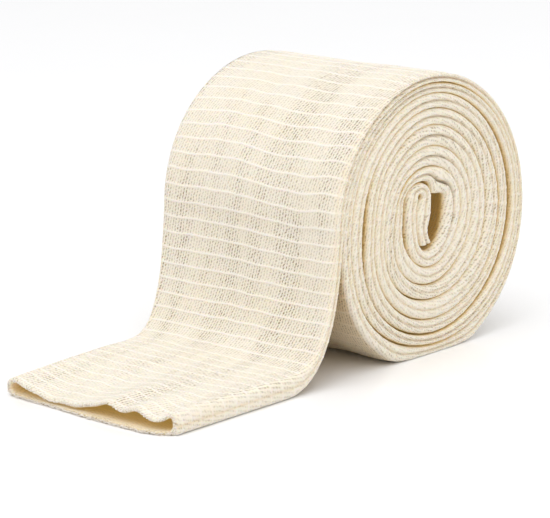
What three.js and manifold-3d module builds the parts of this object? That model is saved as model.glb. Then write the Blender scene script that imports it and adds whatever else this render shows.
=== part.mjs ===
// Tubular elastic bandage, wound into a loose roll, with its last stretch hanging down and lying open-ended
// on the surface. It is one length of knitted tube, so it is one closed solid.
// Units are millimetres. Z is up, the roll's axis runs along Y, and the loose end points towards -X.
import * as THREE from 'three';
import { mergeVertices } from 'three/addons/utils/BufferGeometryUtils.js';
import Module from 'manifold-3d';

// Driving dimensions.
const FLAT_WIDTH = 75;        // width of the tube pressed flat, which is the length of the roll
const WALL = 1.9;             // one layer of the knit
const CENTRE_HEIGHT = 44;     // height of the winding's centre over the surface
const NOSE = 1.6;             // how far the folded edge rounds in from the end face
const CREASE = 0.45;          // dent along the middle of each folded edge
const UNEVEN = 0.55;          // how far some turns sit back from the end face
const COLUMNS = 32;           // facets round one turn
const LINES = 20;             // strips across the width

// Radius of the winding's outer side, turn by turn. Each row starts on the left and goes down under the roll,
// so the first number of the next row closes the turn. Where a radius would pass the surface, the surface
// flattens it.
const TURNS = [
  // left, lower left, bottom, lower right, right, upper right, top, upper left
  [12.7, 14.7, 16.8, 14.3, 14.7, 14.6, 14.8, 15.7],
  [16.0, 20.4, 22.2, 20.6, 19.8, 20.6, 21.0, 20.6],
  [20.7, 25.2, 27.0, 27.0, 26.5, 26.8, 27.4, 25.5],
  [25.2, 30.1, 33.3, 33.5, 32.8, 32.4, 32.4, 30.3],
  [30.5, 35.5, 37.8, 37.4, 36.8, 36.9, 37.1, 35.0],
  [35.4, 40.1, 41.2, 42.2, 41.4, 40.8, 40.2, 38.8],
  [39.5, 44.8, 47.4, 45.8, 44.0, 43.5, 43.0, 42.8],
];
const LEAVING_RADIUS = 42.4;  // outer side of the last turn where the loose end leaves it

// Side view of the loose end's inner face: a sweep down from the roll, then flat on the surface to the mouth.
const DROP_LEAN = new THREE.Vector2(-42.3, 20);
const DROP_FOOT = new THREE.Vector2(-49, 0);
const LANDING = new THREE.Vector2(-65.5, 0);
const MOUTH_X = -113.5;
const FAR_EDGE_DRAW_IN = 3.4; // how much narrower the puffed tube is, all of it on the far edge
const DROP_STEPS = 14;
const FLAT_STEPS = 11;

// Thickness of the loose end over both layers, by share of its length from roll to mouth.
const PUFF = [
  // share, thickness
  [0.00, 2.9],
  [0.20, 3.0],
  [0.36, 3.9],
  [0.50, 6.6],
  [0.62, 6.7],
  [0.76, 6.0],
  [0.90, 5.1],
  [1.00, 4.3],
];

// The upper lip of the mouth stands open in humps. Each fades out over HUMP_REACH behind the mouth.
const HUMPS = [
  // place along Y, half width, rise
  [-35.0, 2.8, 2.2],
  [-24.0, 4.6, 2.7],
  [-11.0, 4.8, 2.8],
  [32.0, 13.0, 2.4],
];
const HUMP_REACH = 36;
const POCKET_DEPTH = 34;      // how far the open mouth is hollow before the layers close
const POCKET_STEPS = 6;
const CORNER_BACK = 2.2;      // the mouth's far corner is pulled back
const CORNER_LIFT = 0.5;      // and lifts a little off the surface
const CORNER_START = 16;      // place along Y where that begins

// Outline of the slot beside the tight inner coil, seen from the near end, about the winding's centre.
const SLOT = [
  [1.0, 5.5],
  [6.9, 4.2],
  [6.5, -0.5],
  [5.0, -4.3],
  [2.6, -7.0],
  [-0.5, -6.4],
  [-1.0, -4.4],
  [0.1, -2.3],
  [0.8, 1.0],
];

const HALF = FLAT_WIDTH / 2;
const LAST = TURNS.length * COLUMNS;
const RADII = [...TURNS.flat(), LEAVING_RADIUS];
const SAMPLES_A_TURN = TURNS[0].length;

// Smooth curve through evenly spaced values, read at a place counted in samples.
function through(values, place) {
  const i = Math.min(Math.floor(place), values.length - 2);
  const t = place - i;
  const at = (k) => values[Math.max(0, Math.min(values.length - 1, k))];
  const slopeA = (at(i + 1) - at(i - 1)) / 2;
  const slopeB = (at(i + 2) - at(i)) / 2;
  const rise = at(i + 1) - at(i);
  const bend = 3 * rise - 2 * slopeA - slopeB;
  const twist = slopeA + slopeB - 2 * rise;
  return at(i) + t * (slopeA + t * (bend + t * twist));
}

// Straight-line reading of a two-column table.
function reading(table, key) {
  const next = table.findIndex(([start]) => start >= key);
  if (next <= 0) return table[next === 0 ? 0 : table.length - 1][1];
  const [a, low] = table[next - 1];
  const [b, high] = table[next];
  return low + (high - low) * (key - a) / (b - a);
}

const smooth = (t) => THREE.MathUtils.smoothstep(t, 0, 1);
const mix = THREE.MathUtils.lerp;

const positions = [];
const triangles = [];

function point(x, y, z) {
  positions.push(x, y, Math.max(z, 0));
  return positions.length / 3 - 1;
}

function quad(a, b, c, d) {
  triangles.push(a, b, c, a, c, d);
}

function fan(loop) {
  for (let i = 1; i < loop.length - 1; i += 1) triangles.push(loop[0], loop[i], loop[i + 1]);
}

// The two end faces are mirror images, so the far one turns each facet round.
const ENDS = [{ side: -1 }, { side: 1 }];

function endQuad(end, a, b, c, d) {
  if (end.side < 0) quad(a, b, c, d);
  else quad(d, c, b, a);
}

function endTriangle(end, a, b, c) {
  if (end.side < 0) triangles.push(a, b, c);
  else triangles.push(c, b, a);
}

// Column i of the winding stands at half a turn (the left side) plus i columns, turning down under the roll.
const angleOf = (i) => Math.PI + i * 2 * Math.PI / COLUMNS;

// The winding's outer side, held off the surface, which gives the roll its flat spot.
function radiusOf(i) {
  const down = -Math.sin(angleOf(i));
  const free = through(RADII, i * SAMPLES_A_TURN / COLUMNS);
  return down > 0 ? Math.min(free, CENTRE_HEIGHT / down) : free;
}

function onWinding(i, radius, y) {
  const angle = angleOf(i);
  return point(radius * Math.cos(angle), y, CENTRE_HEIGHT + radius * Math.sin(angle));
}

// Turns sit a little in and out of the end face, slowly changing along the winding.
function setBack(i, side) {
  const angle = angleOf(i);
  return UNEVEN * (0.5 + 0.3 * Math.sin(0.43 * angle + side) + 0.2 * Math.sin(1.31 * angle - 2 * side));
}

// Corners of one folded edge between an inner and an outer radius: a rounded nose with a dent along its middle.
const NOSE_SHARES = [0.2, 0.5, 0.8];

function noseOfTurn(i, side) {
  const inner = radiusOf(i - COLUMNS);
  const outer = radiusOf(i);
  const face = HALF - setBack(i, side);
  return NOSE_SHARES.map((share) => {
    const dent = share === 0.5 ? CREASE : 0;
    return onWinding(i, mix(inner, outer, share), side * (face - dent));
  });
}

// End faces: spiral grooves, the noses between them, and the tight inner coil as a raised middle.
for (const end of ENDS) {
  const { side } = end;
  end.groove = [];
  end.nose = [];
  for (let i = 0; i <= LAST; i += 1) {
    end.groove.push(onWinding(i, radiusOf(i), side * (HALF - NOSE - (i < LAST - COLUMNS ? setBack(i, side) : 0))));
    if (i >= COLUMNS) end.nose[i] = noseOfTurn(i, side);
  }
  for (let i = COLUMNS; i < LAST; i += 1) {
    const here = [end.groove[i - COLUMNS], ...end.nose[i], end.groove[i]];
    const next = [end.groove[i + 1 - COLUMNS], ...end.nose[i + 1], end.groove[i + 1]];
    for (let k = 0; k < here.length - 1; k += 1) endQuad(end, here[k], here[k + 1], next[k + 1], next[k]);
  }
  const rim = [];
  for (let i = 0; i < COLUMNS; i += 1) {
    rim.push(onWinding(i, radiusOf(i) - NOSE, side * (HALF - setBack(i, side))));
  }
  for (let i = 0; i < COLUMNS - 1; i += 1) {
    endQuad(end, rim[i], end.groove[i], end.groove[i + 1], rim[i + 1]);
  }
  const lastRim = rim[COLUMNS - 1];
  const [low, middle, high] = end.nose[COLUMNS];
  const step = [end.groove[COLUMNS - 1], end.groove[COLUMNS], high, middle, low];
  for (let k = 0; k < step.length - 1; k += 1) endTriangle(end, lastRim, step[k], step[k + 1]);
  endTriangle(end, lastRim, low, rim[0]);
  endTriangle(end, rim[0], low, end.groove[0]);
  const heart = point(0, side * (HALF - UNEVEN), CENTRE_HEIGHT);
  for (let i = 0; i < COLUMNS; i += 1) endTriangle(end, heart, rim[i], rim[(i + 1) % COLUMNS]);
}

// Outer face of the last turn: lines of points from the near groove to the far one.
const [near, far] = ENDS;

function lineBetween(first, last, place) {
  const line = [first];
  for (let k = 1; k < LINES; k += 1) line.push(place(k / LINES));
  line.push(last);
  return line;
}

const outerLines = [];
for (let i = LAST - COLUMNS; i <= LAST; i += 1) {
  const inset = HALF - NOSE;
  outerLines.push(lineBetween(near.groove[i], far.groove[i], (t) => onWinding(i, radiusOf(i), mix(-inset, inset, t))));
}
for (let i = 0; i < COLUMNS; i += 1) {
  for (let k = 0; k < LINES; k += 1) {
    quad(outerLines[i][k], outerLines[i][k + 1], outerLines[i + 1][k + 1], outerLines[i + 1][k]);
  }
}

// The loose end: rings of points round the flattened tube, carried along its inner face's side view.
const leaving = new THREE.Vector2(-radiusOf(LAST - COLUMNS), CENTRE_HEIGHT);
const drop = new THREE.CubicBezierCurve(leaving, DROP_LEAN, DROP_FOOT, LANDING);
const dropLength = drop.getLength();
const looseLength = dropLength + LANDING.x - MOUTH_X;

function stationAt(length) {
  if (length >= dropLength) {
    return { x: LANDING.x - (length - dropLength), z: 0, nx: 0, nz: 1 };
  }
  const u = length / dropLength;
  const { x, y: z } = drop.getPointAt(u);
  const along = drop.getTangentAt(u);
  return { x, z, nx: along.y, nz: -along.x };
}

function humpRise(y) {
  let rise = 0;
  for (const [place, halfWidth, height] of HUMPS) rise += height * Math.exp(-(((y - place) / halfWidth) ** 2));
  return rise;
}

const mouthShare = (length) => smooth(1 - (looseLength - length) / HUMP_REACH);

function thickness(length, y) {
  return reading(PUFF, length / looseLength) + humpRise(y) * mouthShare(length);
}

// A point of the loose end, from its length along it, its place across and its share of the thickness.
// The inset moves it in from the outside by that much, for the hollow of the mouth.
function onLooseEnd(length, y, share, inset = 0) {
  const { x, z, nx, nz } = stationAt(length);
  const deep = thickness(length, y);
  const height = inset + share * (deep - 2 * inset);
  const corner = smooth((y - CORNER_START) / (HALF - CORNER_START)) * mouthShare(length);
  return point(x + height * nx + CORNER_BACK * corner, y, z + height * nz + CORNER_LIFT * corner);
}

// One ring: inner line from near to far, far nose, outer line back again, near nose.
function ring(length, inset = 0) {
  const drawIn = FAR_EDGE_DRAW_IN * smooth(length / dropLength);
  const nearEdge = -HALF + inset;
  const farEdge = HALF - drawIn - inset;
  const across = (t) => mix(nearEdge + NOSE, farEdge - NOSE, t);
  const steps = Array.from({ length: LINES + 1 }, (_, k) => k / LINES);
  const nose = (edge, inward) => NOSE_SHARES.map((share) => {
    const dent = share === 0.5 ? CREASE * inward : 0;
    return onLooseEnd(length, edge + dent, share, inset);
  });
  return {
    inner: steps.map((t) => onLooseEnd(length, across(t), 0, inset)),
    far: nose(farEdge, -1),
    outer: steps.map((t) => onLooseEnd(length, across(t), 1, inset)),
    near: nose(nearEdge, 1),
  };
}

const loopOf = ({ inner, far: farNose, outer, near: nearNose }) => [
  ...inner, ...farNose, ...[...outer].reverse(), ...[...nearNose].reverse(),
];

const rings = [{ inner: outerLines[0], far: far.nose[LAST], outer: outerLines[COLUMNS], near: near.nose[LAST] }];
for (let j = 1; j <= DROP_STEPS; j += 1) rings.push(ring(dropLength * j / DROP_STEPS));
for (let j = 1; j <= FLAT_STEPS; j += 1) {
  rings.push(ring(mix(dropLength, looseLength, j / FLAT_STEPS)));
}
for (let j = 0; j <= POCKET_STEPS; j += 1) {
  rings.push(ring(looseLength - POCKET_DEPTH * j / POCKET_STEPS, WALL));
}
const loops = rings.map(loopOf);
for (let j = 0; j < loops.length - 1; j += 1) {
  loops[j].forEach((corner, k) => {
    const after = (k + 1) % loops[j].length;
    quad(corner, loops[j + 1][k], loops[j + 1][after], loops[j][after]);
  });
}

// The hollow ends where the two layers close.
const closed = rings[rings.length - 1];
for (let k = 0; k < LINES; k += 1) {
  quad(closed.inner[k + 1], closed.inner[k], closed.outer[k], closed.outer[k + 1]);
}
fan([closed.inner[LINES], closed.outer[LINES], ...[...closed.far].reverse()]);
fan([closed.outer[0], closed.inner[0], ...closed.near]);

// Join and cut as solids.
const wasm = await Module();
wasm.setup();

function solidOf(geometry) {
  const bare = geometry.clone();
  bare.deleteAttribute('normal');
  bare.deleteAttribute('uv');
  const merged = mergeVertices(bare, 1e-5);
  return new wasm.Manifold(new wasm.Mesh({
    numProp: 3,
    vertProperties: new Float32Array(merged.attributes.position.array),
    triVerts: new Uint32Array(merged.index.array),
  }));
}

function geometryOf(solid) {
  const mesh = solid.getMesh();
  const geometry = new THREE.BufferGeometry();
  geometry.setAttribute('position', new THREE.BufferAttribute(new Float32Array(mesh.vertProperties), 3));
  geometry.setIndex(new THREE.BufferAttribute(new Uint32Array(mesh.triVerts), 1));
  return geometry;
}

const woundGeometry = new THREE.BufferGeometry();
woundGeometry.setAttribute('position', new THREE.BufferAttribute(new Float32Array(positions), 3));
woundGeometry.setIndex(triangles);

// The slot runs right through the roll, from one end face to the other.
const slotShape = new THREE.Shape(SLOT.map(([x, z]) => new THREE.Vector2(x, z)));
const slotGeometry = new THREE.ExtrudeGeometry(slotShape, { depth: 2 * FLAT_WIDTH, bevelEnabled: false });
slotGeometry.rotateX(Math.PI / 2);
slotGeometry.translate(0, FLAT_WIDTH, CENTRE_HEIGHT);

const bandageGeometry = geometryOf(solidOf(woundGeometry).subtract(solidOf(slotGeometry)));

// The origin is under the middle of the whole thing, on the surface.
bandageGeometry.computeBoundingBox();
const middle = bandageGeometry.boundingBox.getCenter(new THREE.Vector3());
bandageGeometry.translate(-middle.x, -middle.y, 0);
bandageGeometry.computeVertexNormals();

const knit = new THREE.MeshStandardMaterial({ color: 0xf3ead4, roughness: 0.92, metalness: 0 });
const bandage = new THREE.Mesh(bandageGeometry, knit);
bandage.name = 'tubular_bandage';

const group = new THREE.Group();
group.add(bandage);

export default group;
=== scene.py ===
"""Tubular elastic bandage, wound into a loose roll with its last stretch hanging down and lying open-ended.

The whole bandage is one flattened knitted tube. Its side view is a spiral: two curves, the tube's inner and
outer side, run from the tight inner coil through seven turns to the mouth of the loose end. A ring of points
round the flattened tube is carried along them. Working lengths are in millimetres and meshes are in metres.
"""

import bpy
import numpy as np
from bpy.props import FloatProperty, FloatVectorProperty, IntProperty, PointerProperty
from mathutils import Matrix, Vector


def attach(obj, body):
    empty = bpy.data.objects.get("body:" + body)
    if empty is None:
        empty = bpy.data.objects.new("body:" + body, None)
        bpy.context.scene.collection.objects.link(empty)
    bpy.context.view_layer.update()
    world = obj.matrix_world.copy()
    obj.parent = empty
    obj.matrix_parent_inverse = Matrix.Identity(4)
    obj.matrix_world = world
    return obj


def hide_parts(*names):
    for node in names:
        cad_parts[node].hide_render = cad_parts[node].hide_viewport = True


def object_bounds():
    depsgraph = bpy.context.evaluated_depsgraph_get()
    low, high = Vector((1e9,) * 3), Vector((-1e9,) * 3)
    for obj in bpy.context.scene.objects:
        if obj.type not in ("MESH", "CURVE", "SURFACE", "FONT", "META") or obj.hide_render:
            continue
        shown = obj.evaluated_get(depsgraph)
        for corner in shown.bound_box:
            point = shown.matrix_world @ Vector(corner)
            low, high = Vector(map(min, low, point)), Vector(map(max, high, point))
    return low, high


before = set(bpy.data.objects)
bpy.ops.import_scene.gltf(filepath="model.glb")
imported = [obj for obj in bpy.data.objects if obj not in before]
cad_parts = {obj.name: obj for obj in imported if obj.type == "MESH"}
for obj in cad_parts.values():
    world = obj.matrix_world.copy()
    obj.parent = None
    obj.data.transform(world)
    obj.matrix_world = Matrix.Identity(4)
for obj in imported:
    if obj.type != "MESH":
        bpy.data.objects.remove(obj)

bl_info = {
    "name": "Tubular bandage roll",
    "version": (1, 0, 0),
    "blender": (4, 5, 0),
    "location": "View3D > Sidebar > Bandage",
    "description": "Builds a loosely wound roll of knitted tubular bandage and its stage",
    "category": "Add Mesh",
}

NODE = "tubular_bandage"
CAD_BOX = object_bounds()
MM = 0.001

# The winding, in millimetres, as in the part's source. The side view is read about the winding's centre.
HALF_WIDTH = 37.5
CENTRE_HEIGHT = 44.0
RIGHT_RADIUS = 44.0
CENTRE_X = CAD_BOX[1].x / MM - RIGHT_RADIUS
TURNS = np.array([
    # left, lower left, bottom, lower right, right, upper right, top, upper left
    [12.7, 14.7, 16.8, 14.3, 14.7, 14.6, 14.8, 15.7],
    [16.0, 20.4, 22.2, 20.6, 19.8, 20.6, 21.0, 20.6],
    [20.7, 25.2, 27.0, 27.0, 26.5, 26.8, 27.4, 25.5],
    [25.2, 30.1, 33.3, 33.5, 32.8, 32.4, 32.4, 30.3],
    [30.5, 35.5, 37.8, 37.4, 36.8, 36.9, 37.1, 35.0],
    [35.4, 40.1, 41.2, 42.2, 41.4, 40.8, 40.2, 38.8],
    [39.5, 44.8, 47.4, 45.8, 44.0, 43.5, 43.0, 42.8],
])
LEAVING_RADIUS = 42.4
LAST_TURN = float(len(TURNS))
SAMPLES = TURNS.shape[1]

# Steps of the side view in a turn of the spiral, in the sweep, in the straight run, and within each of them.
TURN_STEPS, SWEEP_STEPS, RUN_STEPS, STEPS = 48, 60, 40, 24

# The dent along a wound fold, in millimetres: its usual depth, its wave, the wave's radians to a turn, and
# how much deeper it is in a bell at the roll's top.
DENT_USUAL, DENT_WAVE, DENT_WAVE_RATE = 0.1, 0.2, 5.1
DENT_AT_TOP, TOP_PLACE, TOP_REACH = 0.7, 0.75, 0.1

# The tight inner coil beside the slot, from the tube's inner end to where the full turns begin.
COIL = np.array([
    # outer side x, z, inner side x, z, depth of the dent along the fold
    [0.3, 35.0, -4.2, 34.2, 0.3],
    [-0.9, 37.4, -5.2, 37.2, 0.4],
    [-1.1, 39.6, -5.9, 39.8, 0.6],
    [0.0, 42.0, -6.2, 42.6, 0.8],
    [0.8, 45.4, -6.0, 45.8, 0.8],
    [0.9, 49.3, -4.9, 48.4, 0.5],
    [0.0, 52.0, -3.5, 49.6, 0.2],
    [-2.2, 53.8, -3.8, 50.8, 0.2],
    [-5.2, 54.2, -4.3, 50.9, 0.2],
    [-8.2, 53.9, -5.0, 50.5, 0.2],
    [-9.9, 52.2, -5.2, 49.7, 0.3],
    [-10.7, 49.0, -5.4, 48.6, 0.3],
    [-11.0, 45.0, -6.4, 46.0, 0.2],
    [-11.0, 40.0, -6.5, 42.4, 0.2],
    [-10.4, 36.0, -6.2, 39.0, 0.2],
    [-8.9, 32.2, -5.4, 35.6, 0.2],
    [-6.2, 29.4, -3.8, 33.4, 0.2],
    [-2.2, 27.7, -1.6, 32.6, 0.2],
    [2.0, 27.7, 0.8, 33.4, 0.2],
    [6.0, 29.6, 3.0, 35.2, 0.3],
    [10.0, 33.4, 4.6, 37.4, 0.4],
    [12.8, 38.0, 5.8, 40.2, 0.8],
    [14.4, 43.0, 6.7, 43.8, 1.6],
    [14.0, 49.0, 7.0, 47.4, 3.0],
    [11.0, 54.0, 6.4, 49.3, 3.4],
    [6.0, 57.4, 1.6, 50.2, 2.4],
    [0.0, 58.6, -0.4, 54.0, 1.0],
    [-6.0, 57.8, -5.6, 54.7, 0.4],
    [-11.0, 54.9, -9.8, 53.3, 0.4],
    [-14.6, 50.2, -12.2, 50.0, 0.4],
])

# Where neighbouring turns stand apart: place of the gap in turns, half its length in turns, and how far the
# turn inside it and the turn outside it draw back, in millimetres.
OPEN_GAPS = [
    (4.00, 0.080, 1.9, 0.0),
    (4.48, 0.150, 0.2, 1.7),
    (5.73, 0.090, 0.25, 0.25),
    (5.22, 0.090, 0.35, 0.35),
    (4.20, 0.070, 0.3, 0.25),
    (3.20, 0.070, 0.25, 0.2),
    (2.20, 0.070, 0.2, 0.2),
    (1.30, 0.100, 0.3, 0.2),
    (3.52, 0.120, 0.2, 0.4),
    (2.50, 0.120, 0.1, 0.3),
]
SHUT_GAP = 0.03

# The loose end's inner side: a sweep down from the roll, then flat on the surface to the mouth. It changes
# from wound to loose over LOOSE_REACH. Its thickness is given at shares of its length.
DROP = np.array([[-39.5, 44.0], [-42.3, 20.0], [-49.0, 0.0], [-65.5, 0.0]])
MOUTH_X = -113.5
LOOSE_REACH = 55.0
LOOSE_DENT = 0.15
FAR_EDGE_DRAW_IN = 3.4
PUFF_SHARE = [0.00, 0.20, 0.36, 0.50, 0.62, 0.76, 0.90, 1.00]
PUFF_THICKNESS = [2.9, 3.0, 3.9, 6.6, 6.7, 6.0, 5.1, 4.3]

# The mouth, in millimetres. The upper lip rises in humps that fade over HUMP_REACH along the tube. The far
# corner stands back from CORNER_START outwards, and its fold is rounder. The lower lip leads, less and less
# towards the far corner over LEAD_FADE, and the near corner stands back. Both fade over LEAD_REACH.
HUMPS = [
    # place across, half width, rise
    (-35.5, 2.6, 2.2),
    (-22.8, 4.2, 1.9),
    (-11.0, 4.2, 1.9),
    (3.0, 5.0, -1.4),
    (13.5, 7.0, -1.7),
    (31.0, 5.0, 1.3),
]
HUMP_REACH = 36.0
CORNER_BACK, CORNER_START, FAR_CORNER_ROUND = 0.6, 16.0, 1.2
LOWER_LIP_LEAD, LEAD_REACH, LEAD_FADE = 1.4, 14.0, 22.0
NEAR_CORNER_BACK, NEAR_CORNER_REACH = 2.6, 9.0

# The inside of the tube: the cloth's thickness above, below and at the folds, and the rings that round the
# cut edge over and run back inside, each with its distance from the mouth and its inset.
UPPER_WALL, LOWER_WALL, SIDE_WALL = 1.0, 1.1, 2.2
POCKET_DEPTH = 34.0
LIP_BACK = [0.5, 0.15, 0.0, 0.0, 0.15, 0.5, 1.2, 2.5, 4.0, 6.0, 9.0, 13.0, 18.0, 24.0, 29.0, POCKET_DEPTH]
LIP_INSET = [0.0, 0.1, 0.32, 0.68, 0.9] + [1.0] * 11

# Rings for each elastic line, as shares of the pitch. The first is at FIRST_RING, the inner turns end at
# JOIN_TURN, the last is EDGE_START from the mouth, and ROW_MARGIN is kept free at both, in millimetres.
INNER_SHARES = [-0.17, -0.08, 0.0, 0.08, 0.17, 0.38, 0.62]
OUTER_SHARES = [-0.19, -0.11, -0.05, 0.0, 0.05, 0.11, 0.19, 0.36, 0.5, 0.64]
FIRST_RING, JOIN_TURN, EDGE_START, ROW_MARGIN = 0.4, 5.94, 0.9, 0.12

# Points round the tube: places across a flat side, -1 at the near edge and 1 at the far one, or for a
# mirrored side its far half, and shares of the thickness on a fold. The side that shows is the finest.
FINE_SIDE = np.linspace(1, -1, 67)
COARSE_SIDE = [0.0, 0.35, 0.65, 0.84, 0.93, 0.975, 1.0]
HIDDEN_SIDE = [0.0, 0.4, 0.75, 0.92, 1.0]
FOLD_SHARES = np.array([
    0.012, 0.04, 0.1, 0.2, 0.32, 0.41, 0.46, 0.5, 0.54, 0.59, 0.68, 0.8, 0.9, 0.96, 0.988])
USUAL_THICKNESS, NOSE_POWER, NOSE_STEPS = 5.0, 2.5, 4001

# Chance waves, in millimetres: length round the tube and along it. Elastic lines stray in long and short
# waves, less near the tube's two ends. The turns' set-back is read END_FACES_APART at the two end faces.
STRAY_WAVE, SHORT_STRAY_WAVE, SHORT_STRAY_SHARE = (46.0, 60.0), (12.0, 40.0), 0.45
STRAY_START, STRAY_STOP, STRAY_EASE = 2.0, 3.0, 10.0
SET_BACK_WAVE, SET_BACK_LIMIT, END_FACES_APART = (90.0, 170.0), 1.2, 40.0
PUCKER_WAVE = (22.0, 48.0)
LIP_WAVE, LIP_WAVER = (7.0, 1.0), 0.1

# Greatest reach of a fold and of its dent as shares of the thickness, what a dent loses in the loose end, an
# elastic line's bell as a share of its width, and what relief keeps at a fold.
FOLD_DEPTH_LIMIT, DENT_LIMIT, LOOSE_DENT_LOSS, LINE_BELL, RELIEF_AT_FOLD = 0.45, 0.6, 0.75, 0.42, 0.4
# In millimetres: a dent's half width, how far cloth swells between lines, where relief fades towards a fold,
# the least height inside the tube and the least height above the surface.
DENT_REACH, SWELL, RELIEF_REACH, LEAST_HEIGHT, LEAST_Z = 0.4, 0.1, 3.0, 0.12, 0.02

# Shelter, the share of painted shade, with reaches in millimetres. Between turns: a first share, its reach,
# and the reach of the rest.
FIRST_SHELTER, FIRST_REACH, SHELTER_REACH = 0.25, 1.5, 3.0
# Under the drop: from DROP_BEFORE the last turn to DROP_TURNS before its end.
DROP_SHELTER, DROP_BEFORE, DROP_TURNS, DROP_EASE_IN, DROP_EASE_OUT = 0.5, 30.0, 0.66, 20.0, 25.0
# On a folded edge beside its neighbours and along its dent, and in the mouth from the lip inwards.
FOLD_SHELTER, DENT_SHELTER, DENT_SHELTER_REACH = 0.25, 0.28, 0.45
LIP_SHELTER, INNER_SHELTER, INNER_REACH = 0.3, 0.6, 8.0
# Painted glow, an emission standing in for light through the cloth: how far in it is full at a seam, and its
# strength at seams and in the mouth.
SEAM_REACH, SEAM_LIGHT, MOUTH_LIGHT = 0.8, 0.3, 0.33

# The cut loops: strays along the edge in columns, place and strays of the two rows through the thickness,
# how far a loop points aside, and its greatest turn and its tails in radians.
LOOP_STRAY, LOOP_ROWS, LOOP_ROW_STRAY = 0.35, (0.2, 0.8), 0.15
LOOP_ASIDE, LOOP_TURN, LOOP_TAIL = 0.45, 1.2, 0.35
# Least and greatest size of a loop against the usual, and the lower lip's height in millimetres.
LOOP_WIDTHS, LOOP_REACHES, YARN_RADII, LOWER_LIP_TOP = (0.7, 1.25), (0.5, 1.3), (0.8, 1.3), 1.2
# Points along a loop and round its yarn, and millimetres of the UV map to a side and to a step.
LOOP_STEPS, YARN_SIDES, YARN_SIDE_UV, YARN_STEP_UV = 8, 5, 0.15, 0.25

# The knit's patterns, in millimetres: sideways drift of a column to a millimetre of length, strays of a
# stitch, patches of opener knit and their step at an elastic line, clouds of colour. Fibres, about 0.02 mm
# thick, are too fine to show, so they and the twist of the yarn are drawn as coarse as the camera needs.
WALE_DRIFT = 0.19
SHAKE_SIZE, PATCH_WIDTH, PATCH_LENGTH, PATCH_STEP, CLOUD_SIZE = 1.4, 9.0, 70.0, 1.6, 14.0
FIBRE_SIZE, TWIST_PITCH, HAZE_SIZE = 0.4, 0.5, 70.0

# Pores, in columns and rows of stitches: half width, half length and lean of the dash, and its strays.
PORE_HALF_WIDTH, PORE_HALF_LENGTH, PORE_LEAN = 0.27, 0.49, 0.12
SHAKE_ACROSS, SHAKE_ALONG = 0.7, 0.9
# Where patches begin and are full in their noise, and how open the pores are outside them.
PATCH_FROM, PATCH_FULL, PATCH_LEAST = 0.38, 0.68, 0.48
# An elastic line's sharpness as a power of its cosine, and how much of the pores it and a fold close.
RIDGE_SHARPNESS, RIDGE_COVER, FOLD_COVER = 20.0, 0.9, 0.3
# How much paler a line is, what of that it loses on a fold, and how far fibres darken the cloth.
RIDGE_PALER, FOLD_LESS_PALE, FIBRE_TINT = 0.55, 0.3, 0.14

# The camera, fitted to the photograph: turns in degrees, image width and focal length in pixels, and
# distance, offsets and sensor in millimetres. Half the floor's width is in metres.
CAMERA_AZIMUTH, CAMERA_ELEVATION, CAMERA_ROLL = -45.705, 13.713, 1.875
IMAGE_WIDTH, CAMERA_FOCAL, CAMERA_DISTANCE = 550, 3000.0, 953.543
CAMERA_RIGHT, CAMERA_UP, CAMERA_CENTRE_X = 23.928, -23.32, 36.75
SENSOR_WIDTH = 36.0
FLOOR_SPAN = 6.0

MATH, MIX, NOISE, BSDF = "ShaderNodeMath", "ShaderNodeMix", "ShaderNodeTexNoise", "ShaderNodeBsdfPrincipled"


def linear(hex_colour):
    """The linear colour of an sRGB hex value: below 0.04045 divided by 12.92, above it a 2.4 power curve."""
    value = np.array([int(hex_colour[i:i + 2], 16) for i in (1, 3, 5)]) / 255
    curve = np.where(value <= 0.04045, value / 12.92, ((value + 0.055) / 1.055) ** 2.4)
    return tuple(float(c) for c in curve)


def length_property(name, description, default):
    """A length in metres that a user may change."""
    return FloatProperty(
        name=name, description=description, default=default, min=0.0, unit="LENGTH", precision=5)


def colour_property(name, description, default):
    """A colour that a user may change, given as an sRGB hex value."""
    return FloatVectorProperty(
        name=name, description=description, default=linear(default), size=3, min=0.0, max=1.0,
        subtype="COLOR")


def strength_property(name, description, default):
    """The strength of a light, in watts, or without a unit for the room."""
    return FloatProperty(name=name, description=description, default=default, min=0.0)


class BandageSizes(bpy.types.PropertyGroup):
    """Sizes of the knit and its folds."""

    line_pitch: length_property("Elastic line pitch", "Distance between raised elastic lines", 0.0048)
    line_width: length_property("Elastic line width", "Width of a raised elastic line", 0.0008)
    line_rise: length_property("Elastic line rise", "Height of a raised elastic line", 0.0003)
    line_wander: length_property("Elastic line wander", "How far a line strays from straight", 0.0006)
    wale_pitch: length_property("Wale pitch", "Distance between columns of stitches", 0.0011)
    course_pitch: length_property("Course pitch", "Distance between rows of stitches", 0.0011)
    pucker: length_property("Pucker", "Height of the soft waves in the cloth", 0.0003)
    fold_depth: length_property("Fold depth", "How far the folded edge takes to round over", 0.0021)
    fold_dent: length_property("Fold dent", "Depth of the dent along the middle of the folded edge", 0.0006)
    unevenness: length_property("Unevenness", "How far turns stand in and out of the end face", 0.0006)
    loop_width: length_property("Cut loop width", "Width of a cut stitch at the mouth", 0.0007)
    loop_reach: length_property("Cut loop reach", "How far a cut stitch stands out of the mouth", 0.00055)
    yarn_radius: length_property("Yarn radius", "Radius of the cut yarn", 0.00013)
    chance: IntProperty(name="Chance", description="Starts the chance waves and loops", default=7, min=0)


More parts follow.
